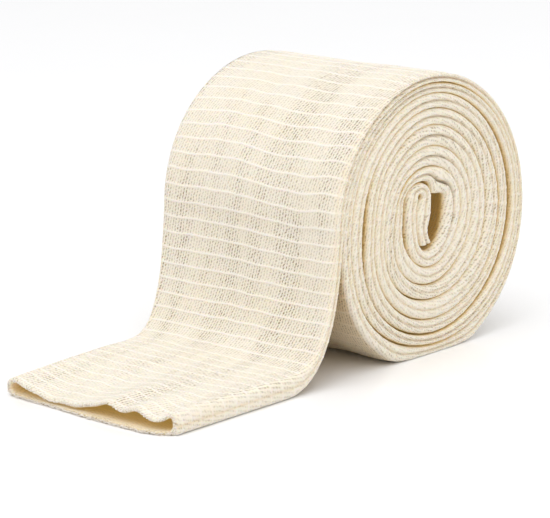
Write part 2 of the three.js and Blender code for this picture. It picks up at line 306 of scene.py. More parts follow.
class BandageColours(bpy.types.PropertyGroup):
    """Colours of the knit and the stage, and of the painted shade and painted glow."""

    cotton: colour_property("Cotton", "Undyed cotton yarn", "#F1EADC")
    warm_cotton: colour_property("Warm cotton", "Undyed cotton where it is a little yellower", "#EEE4CE")
    elastic: colour_property("Elastic line", "Covered elastic thread, paler than the cotton", "#F8F1EA")
    pore: colour_property("Pore", "Depth between stitches", "#85693A")
    # Painted shade: the next two colours darken and warm the cloth where shade falls, between turns, under
    # the drop and inside the tube.
    depth: colour_property("Depth", "Warmth of cloth between turns and inside the tube", "#E8CC8C")
    painted_deep_shade: colour_property("Deepest", "Further warmth and dark of cloth far inside", "#A8843F")
    # Painted glow: an emission colour that stands in for light passing through the cloth at seams and in the
    # mouth.
    painted_glow: colour_property("Passing light", "Light that has passed through the cloth", "#DEBD61")
    floor: colour_property("Floor", "Plain pale floor", "#FAFAFB")


class BandageStage(bpy.types.PropertyGroup):
    """Strength of the lights."""

    key_power: strength_property("Key light", "Power of the large light overhead", 56.0)
    side_power: strength_property("Side light", "Power of the light before the end face", 4.5)
    room_light: strength_property("Room light", "Strength of the even white light", 0.75)


def through(values, place):
    """Smooth curve through evenly spaced values: a cubic between neighbours whose slopes are half the
    difference of the values on either side. The first and last value are held beyond the ends."""
    i = np.clip(np.floor(place).astype(int), 0, len(values) - 2)
    t = place - i
    before, a, b, after = (values[np.clip(i + k, 0, len(values) - 1)] for k in (-1, 0, 1, 2))
    slope_a, slope_b, rise = (b - before) / 2, (after - a) / 2, b - a
    return a + t * (slope_a + t * (3 * rise - 2 * slope_a - slope_b + t * (slope_a + slope_b - 2 * rise)))


def bump(distance, reach):
    """A bell of height 1: e to the minus square of distance over reach."""
    return np.exp(-(distance / reach) ** 2)


def smooth(t):
    """Eases from 0 to 1: three t squared minus two t cubed, held at both ends."""
    t = np.clip(t, 0, 1)
    return t * t * (3 - 2 * t)


def waves(across, along, seed, size_across, size_along, count=9):
    """Gentle chance waves between about -1 and 1: a sum of sines of seeded direction, length and start."""
    chance = np.random.default_rng(seed)
    total = 0.0
    for _ in range(count):
        turn_a, turn_b = chance.uniform(-1, 1), chance.uniform(-1, 1)
        start = chance.uniform(0, 2 * np.pi)
        turned = turn_a * across / size_across + turn_b * along / size_along
        total = total + np.sin(2 * np.pi * turned + start)
    return total / np.sqrt(count)


def winding_radius(turn):
    """Outer side of the winding at a place counted in turns, flattened by the surface that it rests on."""
    radii = np.append(TURNS.ravel(), LEAVING_RADIUS)
    down = np.maximum(-np.sin(np.pi * (1 + 2 * turn)), 1e-6)
    return np.minimum(through(radii, turn * SAMPLES), CENTRE_HEIGHT / down)


def draw_back(turn, outwards):
    """How far the turn inside or outside a gap stands off it: the sum of the bells in OPEN_GAPS."""
    inside, outside = SHUT_GAP, SHUT_GAP
    for place, reach, inner, outer in OPEN_GAPS:
        bell = bump(turn - place, reach)
        inside, outside = inside + inner * bell, outside + outer * bell
    return outside if outwards else inside


def side_view():
    """The tube's inner and outer side as two curves with the same steps, from the inner end to the mouth:
    the coil's table, the spiral, then a cubic sweep and a straight run. Gives a table of inner point, outer
    point and depth of the dent, and the row where the loose end begins."""
    turn = np.arange(1.0, LAST_TURN - 0.5 / TURN_STEPS, 1 / TURN_STEPS)
    angle = np.pi * (1 + 2 * turn)
    ray = np.stack([np.cos(angle), np.sin(angle)], 1)
    centre = np.array([0.0, CENTRE_HEIGHT])
    edge = winding_radius(turn)
    off = np.where(turn > LAST_TURN - 1, 0.0, draw_back(turn, False))
    wound_outer = centre + ray * (edge - off)[:, None]
    wound_inner = centre + ray * (winding_radius(turn - 1) + draw_back(turn - 1, True))[:, None]
    wound_dent = DENT_USUAL + DENT_WAVE * np.sin(DENT_WAVE_RATE * turn)
    wound_dent = wound_dent + DENT_AT_TOP * bump(turn % 1 - TOP_PLACE, TOP_REACH)

    share = np.linspace(0, 1, SWEEP_STEPS)[:, None]
    sweep = sum(w * p for w, p in zip(
        [(1 - share) ** 3, 3 * share * (1 - share) ** 2, 3 * share ** 2 * (1 - share), share ** 3], DROP))
    run_x = np.linspace(DROP[3, 0], MOUTH_X, RUN_STEPS)[1:]
    loose_inner = np.concatenate([sweep, np.stack([run_x, 0 * run_x], 1)])
    step = np.hypot(*np.diff(loose_inner, axis=0).T)
    length = np.concatenate([[0], np.cumsum(step)])
    along = np.gradient(loose_inner, length, axis=0)
    along /= np.linalg.norm(along, axis=1)[:, None]
    out = np.stack([along[:, 1], -along[:, 0]], 1)
    thick = np.interp(length / length[-1], PUFF_SHARE, PUFF_THICKNESS)
    loose_outer = loose_inner + out * thick[:, None]
    loose_dent = np.full(len(length), LOOSE_DENT)

    outer = np.concatenate([COIL[:, 0:2], wound_outer, loose_outer])
    inner = np.concatenate([COIL[:, 2:4], wound_inner, loose_inner])
    dent = np.concatenate([COIL[:, 4], wound_dent, loose_dent])
    place = np.arange(0, len(dent) - 1 + 1e-9, 1 / STEPS)
    columns = [inner[:, 0], inner[:, 1], outer[:, 0], outer[:, 1], dent]
    table = np.stack([through(column, place) for column in columns], 1)
    return table, (len(COIL) + len(turn)) * STEPS


class Path:
    """The side view read by length along the tube's middle."""

    def __init__(self):
        self.table, leaving = side_view()
        middle = (self.table[:, 0:2] + self.table[:, 2:4]) / 2
        self.length = np.concatenate([[0], np.cumsum(np.hypot(*np.diff(middle, axis=0).T))])
        self.leaving = float(self.length[leaving])
        self.wound = len(COIL) * STEPS
        self.end = float(self.length[-1])

    def at_turn(self, turn):
        """Length at a place counted in turns, from the first full turn on."""
        return float(self.length[int(self.wound + (turn - 1) * TURN_STEPS * STEPS)])

    def at(self, length):
        """Inner point, outer point and dent, each read straight-line from the table."""
        columns = [np.interp(length, self.length, column) for column in self.table.T]
        return np.stack(columns[0:2], -1), np.stack(columns[2:4], -1), columns[4]


def rows_between(start, end, pitch, shares):
    """Lengths of the rings: the same shares of each elastic line's pitch, denser at the line itself."""
    first, last = int(np.floor(start / pitch)), int(np.ceil(end / pitch)) + 1
    rows = ((np.arange(first, last)[:, None] + np.asarray(shares)) * pitch).ravel()
    inside = rows[(rows > start + ROW_MARGIN) & (rows < end - ROW_MARGIN)]
    return np.concatenate([[start], inside, [end]])


class Ring:
    """Columns of points once round the flattened tube: the far half of the inner side, the far fold, the
    outer side from far to near, the near fold, and the near half of the inner side. Side is -1 on the inner
    side, 0 on a fold and 1 on the outer side. End is 1 on the far fold and -1 on the near one. Distances
    round the tube are true on the flat sides, and on a fold they run along its profile."""

    def __init__(self, sizes, outer_places, inner_places):
        depth = sizes.fold_depth / MM
        dense = np.linspace(0, 1, NOSE_STEPS)
        steps = np.hypot(np.diff(depth * fold_profile(dense)), np.diff(USUAL_THICKNESS * dense))
        run = np.concatenate([[0], np.cumsum(steps)])
        climb, arc = np.interp(FOLD_SHARES, dense, run), run[-1]
        flat = 2 * (HALF_WIDTH - depth)
        far, near = inner_places[inner_places >= 0], inner_places[inner_places < 0]
        fold = 0 * FOLD_SHARES
        self.side = np.concatenate([0 * far - 1, fold, 0 * outer_places + 1, fold, 0 * near - 1])
        self.end = np.concatenate([0 * far, fold + 1, 0 * outer_places, fold - 1, 0 * near])
        self.place = np.concatenate([far, fold, outer_places, fold, near])
        self.share = np.concatenate([
            0 * far, FOLD_SHARES, 0 * outer_places + 1, FOLD_SHARES[::-1], 0 * near])
        self.around = np.concatenate([
            far * flat / 2, flat / 2 + climb, flat / 2 + arc + (1 - outer_places) * flat / 2,
            1.5 * flat + 2 * arc - climb[::-1], 2 * flat + 2 * arc + near * flat / 2])
        self.whole = 2 * flat + 2 * arc


def fold_profile(share):
    """How far in a rounded but squarish nose lies at a share of the thickness: one minus a superellipse of
    power NOSE_POWER."""
    return 1 - (1 - np.abs(2 * share - 1) ** NOSE_POWER) ** (1 / NOSE_POWER)


def mouth_share(path, length, reach):
    """0 away from the mouth, easing to 1 at it over the reach."""
    return smooth(1 - (path.end - length) / reach)


def tube_points(path, sizes, length, ring, inset=0.0):
    """Points of the flattened tube for rows of length and the ring's columns, and their light_values.

    A point is the inner side plus a share of the thickness towards the outer side. On the two sides the
    share is 0 or 1, and lines and pucker stand off along the thickness. On the folds the point moves in from
    the end face by fold_profile and by a bell-shaped dent along the middle. An inset of 0 is the tube's
    outside and 1 its inside, a wall further in, and between them the cut edge rounds over.

    Towards the mouth the upper side rises by the sum of the bells in HUMPS, and the far fold takes longer to
    round over. At the lip both corners stand back, and between them the lower side leads the upper one.
    """
    row = length[:, None]
    inset = np.broadcast_to(inset, length.shape)[:, None]
    seed = sizes.chance
    pitch = sizes.line_pitch / MM
    loose = smooth((row - path.leaving) / LOOSE_REACH)
    to_mouth = mouth_share(path, row, HUMP_REACH)
    fold = ring.side == 0

    stray = waves(ring.around, row, seed, *STRAY_WAVE)
    stray = stray + SHORT_STRAY_SHARE * waves(ring.around, row, seed + 1, *SHORT_STRAY_WAVE)
    stray = stray * sizes.line_wander / MM * smooth((row - STRAY_START) / STRAY_EASE)
    stray = stray * smooth((path.end - STRAY_STOP - row) / STRAY_EASE)
    inner, outer, dent = path.at(row + stray)
    across = outer - inner
    thick = np.linalg.norm(across, axis=-1)
    normal = across / thick[..., None]

    uneven = 0.5 + 0.5 * waves(ring.end * END_FACES_APART, row, seed + 2, *SET_BACK_WAVE)
    set_back = np.clip(sizes.unevenness / MM * uneven, 0, SET_BACK_LIMIT) * (1 - loose) + SIDE_WALL * inset
    edge = HALF_WIDTH - set_back
    far_edge = edge - FAR_EDGE_DRAW_IN * loose
    near_depth = np.minimum(sizes.fold_depth / MM, FOLD_DEPTH_LIMIT * thick)
    far_depth = near_depth + FAR_CORNER_ROUND * to_mouth
    depth = np.where(ring.end > 0, far_depth, near_depth)
    line = bump((row / pitch - np.round(row / pitch)) * pitch, sizes.line_width / MM * LINE_BELL)
    middle = bump((ring.share - 0.5) * thick, DENT_REACH) * (dent + sizes.fold_dent / MM)
    middle = middle * (1 - inset) * (1 - LOOSE_DENT_LOSS * loose)
    nose_in = depth * fold_profile(ring.share) + np.minimum(middle, DENT_LIMIT * thick)
    nose_in = nose_in - 0.5 * sizes.line_rise / MM * line
    flat_y = near_depth - edge + (ring.place + 1) / 2 * (far_edge + edge - near_depth - far_depth)
    y = np.where(fold, np.where(ring.end > 0, far_edge - nose_in, nose_in - edge), flat_y)

    rise = sum(height * bump(y - spot, half_width) for spot, half_width, height in HUMPS) * to_mouth
    low, high = LOWER_WALL * inset, thick + rise - UPPER_WALL * inset
    outside = (1 - inset) * ring.side
    swell = SWELL * (1 - line) + sizes.line_rise / MM * line
    pucker = sizes.pucker / MM * waves(ring.around, row, seed + 3, *PUCKER_WAVE)
    near_fold = np.clip((edge - np.abs(y)) / RELIEF_REACH, RELIEF_AT_FOLD, 1)
    relief = np.where(ring.side > 0, (swell + pucker) * near_fold, 0.5 * swell) * outside
    height = low + ring.share * np.maximum(high - low, LEAST_HEIGHT) + relief

    corner = smooth((y - CORNER_START) / (HALF_WIDTH - CORNER_START)) * to_mouth
    from_near = smooth((y + HALF_WIDTH) / NEAR_CORNER_REACH)
    lead = LOWER_LIP_LEAD * (1 - ring.share) * smooth((CORNER_START - y) / LEAD_FADE) * from_near
    lead = lead - NEAR_CORNER_BACK * (1 - from_near)
    lead = lead + LIP_WAVER * waves(ring.around, 0 * row, seed + 4, *LIP_WAVE)
    lead = lead * mouth_share(path, row, LEAD_REACH)
    x = inner[..., 0] + height * normal[..., 0] + CORNER_BACK * corner - lead
    z = inner[..., 1] + height * normal[..., 1]
    points = np.stack([x + CENTRE_X, y + 0 * x, np.maximum(z, LEAST_Z)], -1)
    return points, light_values(path, ring, row, y, edge, thick, loose, inset)


def light_values(path, ring, row, y, edge, thick, loose, inset):
    """Three values for each point: 1 on a fold, how much painted shade it gets, and a painted glow.

    Painted shade is 0 in the open and 1 deep inside, where the colour is darkened and warmed as shade would
    do. Between turns it eases from 0 at the end face to 1 at SHELTER_REACH, and in the mouth it eases in
    with the distance from the lip. A folded edge has a little where it meets its neighbours and along its
    dent, and
    so has the roll under the drop. The painted glow is an emission that stands in for light through the
    cloth:
    at the seams between turns, half of it lost with the painted shade, and inside the mouth, where it grows
    with the painted shade. Outside passes into inside with the cube of the inset."""
    last, past = path.at_turn(LAST_TURN - 1), path.at_turn(LAST_TURN - DROP_TURNS)
    behind, nose = edge - np.abs(y), fold_profile(ring.share) ** 2
    deep = FIRST_SHELTER * smooth(behind / FIRST_REACH)
    deep = deep + (1 - FIRST_SHELTER) * smooth(behind / SHELTER_REACH)
    under_drop = DROP_SHELTER * smooth((row - last + DROP_BEFORE) / DROP_EASE_IN)
    under_drop = under_drop * smooth((past - row) / DROP_EASE_OUT)
    outer = np.where(row < last, deep, under_drop)
    inner = deep * (1 - 0.5 * loose)
    fold = FOLD_SHELTER * nose * (1 - loose)
    fold = fold + DENT_SHELTER * bump((ring.share - 0.5) * thick, DENT_SHELTER_REACH)
    outside = np.where(ring.side > 0, outer, np.where(ring.side < 0, inner, fold))
    inside = LIP_SHELTER + INNER_SHELTER * smooth((path.end - row) / INNER_REACH)
    painted_shade = outside * (1 - inset ** 3) + inside * inset ** 3

    seam = np.where(ring.side == 0, nose, smooth(behind / SEAM_REACH))
    seam = seam * ((row < last) | (ring.share < 0.5)) * (1 - loose)
    painted_glow_strength = SEAM_LIGHT * seam * (1 - 0.5 * painted_shade) * (1 - inset) + MOUTH_LIGHT * painted_shade * inset ** 3
    return {"fold": (ring.side == 0) + 0 * painted_shade, "painted_shade": painted_shade, "painted_glow": painted_glow_strength}


def tube_mesh(name, points, values, ring, lengths, material):
    """A closed mesh from rings of points: quads between neighbouring rings, a flat cap at each end, and a UV
    map that holds the distance round the tube and along it, in metres."""
    rows, cols = points.shape[:2]
    grid = np.arange(rows * cols).reshape(rows, cols)
    after = np.roll(grid, -1, axis=1)
    quads = np.stack([grid[:-1], grid[1:], after[1:], after[:-1]], -1).reshape(-1, 4)
    u = np.broadcast_to(ring.around, (rows, cols))
    u_after = np.broadcast_to(np.append(ring.around[1:], ring.around[0] + ring.whole), (rows, cols))
    v = np.broadcast_to(lengths[:, None], (rows, cols))
    uv = np.stack([
        np.stack([u[:-1], v[:-1]], -1), np.stack([u[1:], v[1:]], -1),
        np.stack([u_after[1:], v[1:]], -1), np.stack([u_after[:-1], v[:-1]], -1),
    ], 2).reshape(-1, 2)
    cap_uv = [np.stack([u[0], v[0]], -1), np.stack([u[-1][::-1], v[-1]], -1)]
    faces = [(4, quads), (cols, grid[:1]), (cols, grid[-1:, ::-1])]
    return mesh_piece(name, points, faces, np.concatenate([uv, *cap_uv]), values, material)


def add_object(name, data):
    """An object in the scene for a mesh, light or camera."""
    thing = bpy.data.objects.new(name, data)
    bpy.context.scene.collection.objects.link(thing)
    return thing


def mesh_piece(name, points, faces, uv, values, material):
    """An object from points in millimetres, groups of faces of one size, a UV pair for each corner in
    millimetres, and named values for each point."""
    counts = np.concatenate([np.full(len(group), size) for size, group in faces])
    corners = np.concatenate([np.asarray(group).ravel() for _, group in faces]).astype(np.int32)
    mesh = bpy.data.meshes.new(name)
    mesh.vertices.add(points.size // 3)
    mesh.vertices.foreach_set("co", (points * MM).ravel().astype(np.float32))
    mesh.loops.add(len(corners))
    mesh.loops.foreach_set("vertex_index", corners)
    mesh.polygons.add(len(counts))
    mesh.polygons.foreach_set("loop_start", (np.cumsum(counts) - counts).astype(np.int32))
    mesh.polygons.foreach_set("use_smooth", counts == 4)
    mesh.uv_layers.new(name="cloth").uv.foreach_set("vector", (uv * MM).ravel().astype(np.float32))
    for key, value in values.items():
        attribute = mesh.attributes.new(key, "FLOAT", "POINT")
        attribute.data.foreach_set("value", value.ravel().astype(np.float32))
    mesh.validate()
    mesh.update()
    mesh.materials.append(material)
    return add_object(name, mesh)


def cut_loops(sizes, ring, outside, inside):
    """The cut stitches round the mouth: two rows of small loops of yarn at the wale pitch.

    A loop is half an ellipse that starts and ends in the cloth and stands out of the cut edge, with its
    width along the edge, or turned by chance. Those of the lower lip are twice as large. A circle of the
    yarn's radius is carried along it. Gives points, groups of faces and a UV pair for each corner."""
    chance = np.random.default_rng(sizes.chance)
    count = int(ring.whole / (sizes.wale_pitch / MM)) * 2
    spot = (np.arange(count) / 2 + LOOP_STRAY * chance.uniform(-1, 1, count)) * sizes.wale_pitch / MM
    spot = ring.around[0] + np.mod(spot, ring.whole)
    order = np.append(ring.around, ring.around[0] + ring.whole)
    rims = [np.stack([np.interp(spot, order, np.append(rim[:, k], rim[0, k])) for k in range(3)], 1)
            for rim in (outside, inside)]
    mix = np.where(np.arange(count) % 2 == 0, *LOOP_ROWS)[:, None]
    mix = mix + LOOP_ROW_STRAY * chance.uniform(-1, 1, (count, 1))
    centre = rims[0] * (1 - mix) + rims[1] * mix
    along_edge = np.gradient(rims[0], axis=0)
    along_edge[:, 0] = 0
    along_edge /= np.maximum(np.linalg.norm(along_edge, axis=1), 1e-6)[:, None]
    out = np.array([-1.0, 0.0, 0.0]) + LOOP_ASIDE * chance.uniform(-1, 1, (count, 3)) * [0, 1, 1]
    turned = np.cross(along_edge, [1.0, 0.0, 0.0])
    tilt = chance.uniform(-LOOP_TURN, LOOP_TURN, (count, 1))
    wide = along_edge * np.cos(tilt) + turned * np.sin(tilt)
    fuller = 1 - 0.5 * smooth((centre[:, 2] - LOWER_LIP_TOP) / LOWER_LIP_TOP)[:, None, None]
    half = sizes.loop_width / MM / 2 * chance.uniform(*LOOP_WIDTHS, (count, 1, 1)) * fuller
    reach = sizes.loop_reach / MM * chance.uniform(*LOOP_REACHES, (count, 1, 1)) * fuller
    t = np.linspace(-LOOP_TAIL, np.pi + LOOP_TAIL, LOOP_STEPS)[None, :, None]
    middle = centre[:, None] + half * np.cos(t) * wide[:, None] + reach * np.sin(t) * out[:, None]
    along = np.gradient(middle, axis=1)
    along /= np.linalg.norm(along, axis=-1)[..., None]
    first = np.cross(along, np.cross(wide, out)[:, None])
    first /= np.maximum(np.linalg.norm(first, axis=-1), 1e-6)[..., None]
    second = np.cross(along, first)
    turn = np.arange(YARN_SIDES) / YARN_SIDES * 2 * np.pi
    radius = sizes.yarn_radius / MM * chance.uniform(*YARN_RADII, (count, 1, 1, 1))
    points = middle[:, :, None] + radius * (
        np.cos(turn)[:, None] * first[:, :, None] + np.sin(turn)[:, None] * second[:, :, None])
    points[..., 2] = np.maximum(points[..., 2], LEAST_Z)

    grid = np.arange(points.size // 3).reshape(points.shape[:3])
    after = np.roll(grid, -1, axis=2)
    quads = np.stack([grid[:, :-1], after[:, :-1], after[:, 1:], grid[:, 1:]], -1).reshape(-1, 4)
    faces = [(4, quads), (YARN_SIDES, grid[:, 0, ::-1]), (YARN_SIDES, grid[:, -1])]
    corners = np.concatenate([group.ravel() for _, group in faces])
    loop, rank = np.divmod(corners, LOOP_STEPS * YARN_SIDES)
    uv = np.stack([rank % YARN_SIDES * YARN_SIDE_UV, rank // YARN_SIDES * YARN_STEP_UV + loop], -1)
    return points, faces, uv


def add_node(tree, kind, *values, inputs=None, **settings):
    """Adds a node, sets its properties, then its inputs in order and by name. An input gets a plain value,
    or a link from a socket or from a node's first output in use."""
    node = tree.nodes.new(kind)
    for key, value in settings.items():
        setattr(node, key, value)
    for key, value in [*enumerate(values), *(inputs or {}).items()]:
        if isinstance(value, bpy.types.Node):
            value = next(socket for socket in value.outputs if socket.enabled)
        if isinstance(value, bpy.types.NodeSocket):
            tree.links.new(value, node.inputs[key])
        else:
            node.inputs[key].default_value = value
    return node


def new_material(name):
    """An empty node material with its output."""
    material = bpy.data.materials.get(name) or bpy.data.materials.new(name)
    material.use_nodes = True
    material.node_tree.nodes.clear()
    output = add_node(material.node_tree, "ShaderNodeOutputMaterial")
    return material, material.node_tree, output


def knitted_cotton(sizes, colours, whole):
    """Undyed cotton knitted on a round machine, with covered elastic thread laid in at the line pitch. To
    the eye: matt, cream, columns of small leaning stitches with a dark pore between, patchy along the tube,
    and smooth pale raised lines. Painted golden shade darkens it where sheltered, and at seams and in the
    mouth a painted golden glow, an emission, stands in for light passing through the cloth."""
    material, tree, output = new_material("undyed_cotton_elastic_knit")
    cloth = add_node(tree, "ShaderNodeUVMap", uv_map="cloth")
    around, along = add_node(tree, "ShaderNodeSeparateXYZ", cloth).outputs[0:2]
    # Values from the mesh: 1 on a fold, the share of painted shade, and the strength of the painted glow.
    fold, painted_shade, painted_glow_strength = (
        add_node(tree, "ShaderNodeAttribute", attribute_name=name).outputs["Fac"]
        for name in ("fold", "painted_shade", "painted_glow"))

    # Columns and rows of stitches at their pitches, a whole number of columns round the tube. Columns drift
    # sideways along the tube, and each one starts half a row on from the one before.
    wales = round(whole * MM / sizes.wale_pitch)
    drift = add_node(tree, MATH, along, WALE_DRIFT / sizes.wale_pitch, operation="MULTIPLY")
    u = add_node(tree, MATH, around, wales / (whole * MM), drift, operation="MULTIPLY_ADD")
    v = add_node(tree, MATH, along, 1 / sizes.course_pitch, operation="MULTIPLY")
    shake = add_node(tree, NOISE, cloth, noise_dimensions="2D",
                     inputs={"Scale": 1 / (SHAKE_SIZE * MM), "Detail": 1.0})
    shake_u, shake_v = add_node(tree, "ShaderNodeSeparateXYZ", shake.outputs["Color"]).outputs[0:2]
    u, v = (
        add_node(tree, MATH, way, add_node(tree, MATH, shift, size, -size / 2, operation="MULTIPLY_ADD"))
        for way, shift, size in ((u, shake_u, SHAKE_ACROSS), (v, shake_v, SHAKE_ALONG)))
    column = add_node(tree, MATH, u, operation="FLOOR")
    v = add_node(tree, MATH, column, 0.5, v, operation="MULTIPLY_ADD")
    row = add_node(tree, MATH, v, operation="FLOOR")

    # A pore is a dash between stitches: one minus square of distance across, times the same along.
    beside, above = (
        add_node(tree, MATH, add_node(tree, MATH, way, operation="FRACT"), -0.5) for way in (u, v))
    beside = add_node(tree, MATH, above, PORE_LEAN, beside, operation="MULTIPLY_ADD")
    near = [add_node(tree, MATH, way, reach, operation="DIVIDE")
            for way, reach in ((beside, PORE_HALF_WIDTH), (above, PORE_HALF_LENGTH))]
    near = [add_node(tree, MATH, way, 2.0, operation="POWER") for way in near]
    near = [add_node(tree, MATH, 1.0, way, operation="SUBTRACT", use_clamp=True) for way in near]
    dash = add_node(tree, MATH, *near, operation="MULTIPLY")
    stitch = add_node(tree, "ShaderNodeCombineXYZ", column, row)
    chance = add_node(tree, "ShaderNodeTexWhiteNoise", stitch, noise_dimensions="2D")
    openness = add_node(tree, MATH, chance, 0.5, 0.5, operation="MULTIPLY_ADD")

    # Patches of opener knit, long along the tube, that step sideways at each elastic line.
    lines = add_node(tree, MATH, along, 1 / sizes.line_pitch, operation="MULTIPLY")
    band = add_node(tree, MATH, lines, operation="FLOOR")
    step = add_node(tree, "ShaderNodeTexWhiteNoise", noise_dimensions="1D", inputs={"W": band})
    stepped = add_node(tree, MATH, step, PATCH_STEP * MM, around, operation="MULTIPLY_ADD")
    place = add_node(tree, "ShaderNodeCombineXYZ", stepped, along)
    patch_scale = (1 / (PATCH_WIDTH * MM), 1 / (PATCH_LENGTH * MM), 1.0)
    place = add_node(tree, "ShaderNodeMapping", place, inputs={"Scale": patch_scale})
    patches = add_node(tree, NOISE, place, noise_dimensions="2D",
                       inputs={"Scale": 1.0, "Detail": 2.0, "Roughness": 0.6})
    patches = add_node(tree, "ShaderNodeMapRange", patches, PATCH_FROM, PATCH_FULL, PATCH_LEAST, 1.0,
                       interpolation_type="SMOOTHSTEP")

    # Pores close over an elastic line and thin out on the folds.
    ridge = add_node(tree, MATH, lines, 2 * np.pi, operation="MULTIPLY")
    ridge = add_node(tree, MATH, ridge, operation="COSINE")
    ridge = add_node(tree, MATH, ridge, 0.5, 0.5, operation="MULTIPLY_ADD")
    ridge = add_node(tree, MATH, ridge, RIDGE_SHARPNESS, operation="POWER")
    off_ridge = add_node(tree, MATH, ridge, -RIDGE_COVER, 1.0, operation="MULTIPLY_ADD")
    off_fold = add_node(tree, MATH, fold, -FOLD_COVER, 1.0, operation="MULTIPLY_ADD")
    pore = dash
    for share in (openness, patches, off_ridge, off_fold):
        pore = add_node(tree, MATH, pore, share, operation="MULTIPLY")

    # Colour: two creams in soft clouds, dark pores, pale lines, painted golden shade where sheltered, fibres
    # over all.
    fibre, cloud = (
        add_node(tree, NOISE, cloth, noise_dimensions="2D",
                 inputs={"Scale": 1 / (size * MM), "Detail": detail, "Roughness": 0.6})
        for size, detail in ((FIBRE_SIZE, 2.0), (CLOUD_SIZE, 3.0)))
    paler = add_node(tree, MATH, fold, -FOLD_LESS_PALE, RIDGE_PALER, operation="MULTIPLY_ADD")
    paler = add_node(tree, MATH, ridge, paler, operation="MULTIPLY")
    # Painted deeper shade: past half of the painted shade the cloth darkens further towards the deepest
    # colour.
    deep = add_node(tree, MATH, painted_shade, 2.0, -1.0, operation="MULTIPLY_ADD", use_clamp=True)
    grey = add_node(tree, "ShaderNodeCombineColor", fibre, fibre, fibre)
    colour = (*colours.cotton, 1)
    for blend, share, other in (
            ("MIX", cloud, (*colours.warm_cotton, 1)), ("MIX", pore, (*colours.pore, 1)),
            ("MIX", paler, (*colours.elastic, 1)), ("MULTIPLY", painted_shade, (*colours.depth, 1)),
            ("MULTIPLY", deep, (*colours.painted_deep_shade, 1)), ("MULTIPLY", FIBRE_TINT, grey)):
        colour = add_node(tree, MIX, data_type="RGBA", blend_type=blend,
                          inputs={"Factor": share, "A": colour, "B": other})

    # Relief: pores sink in by 0.3 mm at most, and fibres stand out by a quarter of that.
    height = add_node(tree, MATH, pore, -1.0, operation="MULTIPLY")
    height = add_node(tree, MATH, fibre, 0.25, height, operation="MULTIPLY_ADD")
    relief = add_node(tree, "ShaderNodeBump", inputs={
        "Strength": 0.8, "Distance": 0.3 * MM, "Height": height})
    # Emission paints a golden glow at seams and in the mouth where no lamp is, standing in for light through
    # the cloth.
    shader = add_node(tree, BSDF, inputs={
        "Base Color": colour, "Roughness": 0.93, "Specular IOR Level": 0.2, "Sheen Weight": 0.3,
        "Sheen Roughness": 0.6, "Subsurface Weight": 0.3, "Subsurface Radius": (1.0, 0.62, 0.25),
        "Subsurface Scale": 2.5 * MM, "Normal": relief,
        "Emission Color": (*colours.painted_glow, 1), "Emission Strength": painted_glow_strength})
    tree.links.new(shader.outputs[0], output.inputs[0])
    return material


def cut_yarn(colours):
    """Two-ply cotton yarn, cut. To the eye: matt, nearly white, with a fine twist and a soft fuzzy edge."""
    material, tree, output = new_material("cut_cotton_yarn")
    cloth = add_node(tree, "ShaderNodeUVMap", uv_map="cloth")
    around, along = add_node(tree, "ShaderNodeSeparateXYZ", cloth).outputs[0:2]
    twist = add_node(tree, MATH, around, along)
    twist = add_node(tree, MATH, twist, 2 * np.pi / (TWIST_PITCH * MM), operation="MULTIPLY")
    twist = add_node(tree, MATH, twist, operation="SINE")
    share = add_node(tree, MATH, twist, 0.3, 0.3, operation="MULTIPLY_ADD")
    colour = add_node(tree, MIX, data_type="RGBA", inputs={
        "Factor": share, "A": (*colours.elastic, 1), "B": (*colours.warm_cotton, 1)})
    relief = add_node(tree, "ShaderNodeBump", inputs={
        "Strength": 0.5, "Distance": 0.1 * MM, "Height": twist})
    shader = add_node(tree, BSDF, inputs={
        "Base Color": colour, "Roughness": 0.9, "Specular IOR Level": 0.2, "Sheen Weight": 0.4,
        "Sheen Roughness": 0.6, "Normal": relief})
    tree.links.new(shader.outputs[0], output.inputs[0])
    return material


def glossed_floor(colours):
    """White acrylic sheet, cast and polished: pale, with a faint soft mirror image of what stands on it."""
    material, tree, output = new_material("white_acrylic_sheet")
    place = add_node(tree, "ShaderNodeTexCoord").outputs["Object"]
    haze = add_node(tree, NOISE, place, inputs={"Scale": 1 / (HAZE_SIZE * MM), "Detail": 2.0})
    rough = add_node(tree, "ShaderNodeMapRange", haze, 0.0, 1.0, 0.12, 0.16)
    shader = add_node(tree, BSDF, inputs={
        "Base Color": (*colours.floor, 1), "Roughness": rough, "IOR": 1.35, "Specular IOR Level": 0.5})
    tree.links.new(shader.outputs[0], output.inputs[0])
    return material


def both_ways(places):
    """The places and their mirror images, from the middle to the far edge and from the near edge back."""
    places = np.asarray(places)
    return np.concatenate([places, -places[:0:-1]])


def join_length(path, pitch):
    """Where the inner turns end and the outer turn begins: the whole pitch nearest JOIN_TURN."""
    return round(path.at_turn(JOIN_TURN) / pitch) * pitch


def as_bandage(piece):
    """Rides on the frame and stands for the solid, which it hides."""
    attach(piece, "root")
    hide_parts(NODE)


class BANDAGE_OT_inner_turns(bpy.types.Operator):
    """Makes the tight inner coil and the turns inside the outer one"""

    bl_idname = "bandage.inner_turns"
    bl_label = "Inner turns"

    def execute(self, context):
        """Rings from the tube's inner end to the join, and the sheet's flat size"""
        sizes = context.scene.bandage_sizes
        path = Path()
        pitch = sizes.line_pitch / MM
        join = join_length(path, pitch)
        rows = rows_between(FIRST_RING, join, pitch, INNER_SHARES)
        places = both_ways(COARSE_SIDE)
        ring = Ring(sizes, np.sort(places)[::-1], places)
        material = knitted_cotton(sizes, context.scene.bandage_colours, ring.whole)
        points, values = tube_points(path, sizes, rows, ring)
        piece = tube_mesh("inner_turns", points, values, ring, rows, material)
        as_bandage(piece)
        return {"FINISHED"}


